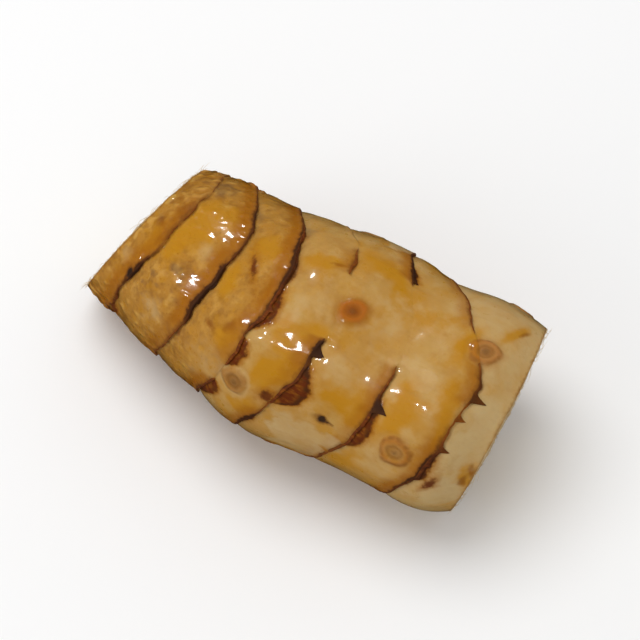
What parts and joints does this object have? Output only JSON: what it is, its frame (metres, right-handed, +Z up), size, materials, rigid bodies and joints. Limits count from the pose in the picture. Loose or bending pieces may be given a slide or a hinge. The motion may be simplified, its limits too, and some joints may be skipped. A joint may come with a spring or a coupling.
{
  "type": "galangal rhizome",
  "caption": "Short barrel-shaped length of galangal rhizome, cut at both ends, with ring scars and root scars, lying on its side.",
  "frame": {"origin": "under the middle of the bounding box, on the surface that the rhizome lies on", "axes": "+X along the length, towards the thicker cut end; +Y across, to the far side; +Z up from the flat spot that it rests on"},
  "size_m": [0.077, 0.0397, 0.0348],
  "materials": {
    "skin": "thin waxy yellow-tan plant skin, semi-gloss and slightly translucent, with dark brown frayed ring scars; cut ends of pale fibrous flesh"
  },
  "bodies": {
    "root": {"rhizome": "skin"}
  },
  "joints": []
}
